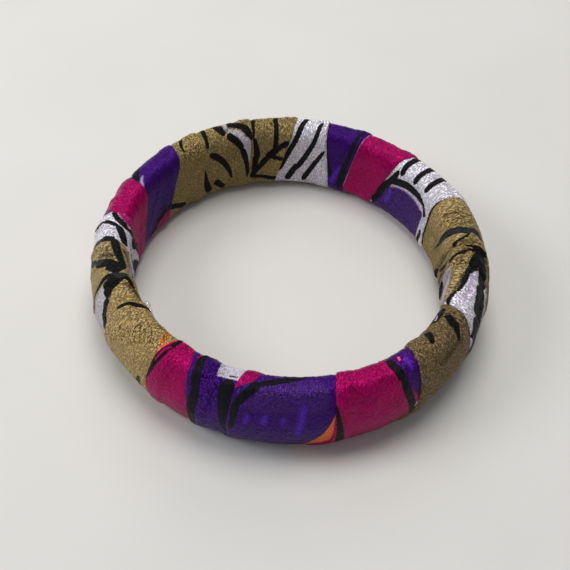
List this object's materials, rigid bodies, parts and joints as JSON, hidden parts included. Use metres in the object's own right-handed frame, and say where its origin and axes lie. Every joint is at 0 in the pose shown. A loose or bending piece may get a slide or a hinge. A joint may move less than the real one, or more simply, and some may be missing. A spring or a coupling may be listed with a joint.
{
  "type": "bangle bracelet",
  "caption": "Rigid round bangle with a flat inside and a curved outside, bound with lapped lengths of satin and metallic printed cloth.",
  "frame": {"origin": "centre of the bangle's underside, on the surface it lies on", "axes": "+Z along the wrist axis, up from the surface the bangle lies on; +X and +Y across the ring, with the cloth's seams numbered anticlockwise from +X"},
  "size_m": [0.0851, 0.0842, 0.0188],
  "materials": {
    "core_wood": "plain sanded wood, hidden under the cloth",
    "dried_adhesive": "thin clear dried adhesive film",
    "clear_glue": "clear glossy dried beads",
    "white_print": "satin cloth printed white with black brush strokes",
    "magenta_print": "magenta satin cloth with a crinkled sheen",
    "purple_print": "purple satin cloth with a crinkled sheen",
    "gold_print": "olive-gold metallic cloth with black tiger strokes"
  },
  "bodies": {
    "root": {"core_ring": "core_wood", "adhesive_film": "dried_adhesive", "glue_bead_large": "clear_glue", "glue_bead_small": "clear_glue", "fabric_wrap_01": "white_print", "fabric_wrap_02": "magenta_print", "fabric_wrap_03": "purple_print", "fabric_wrap_04": "white_print", "fabric_wrap_05": "gold_print", "fabric_wrap_06": "gold_print", "fabric_wrap_07": "gold_print", "fabric_wrap_08": "purple_print", "fabric_wrap_09": "magenta_print", "fabric_wrap_10": "white_print", "fabric_wrap_11": "gold_print", "fabric_wrap_12": "gold_print", "fabric_wrap_13": "magenta_print", "fabric_wrap_14": "purple_print", "fabric_wrap_15": "purple_print", "fabric_wrap_16": "magenta_print", "fabric_wrap_17": "gold_print", "fabric_wrap_18": "white_print", "fabric_wrap_19": "gold_print", "fabric_wrap_20": "gold_print"}
  },
  "joints": []
}
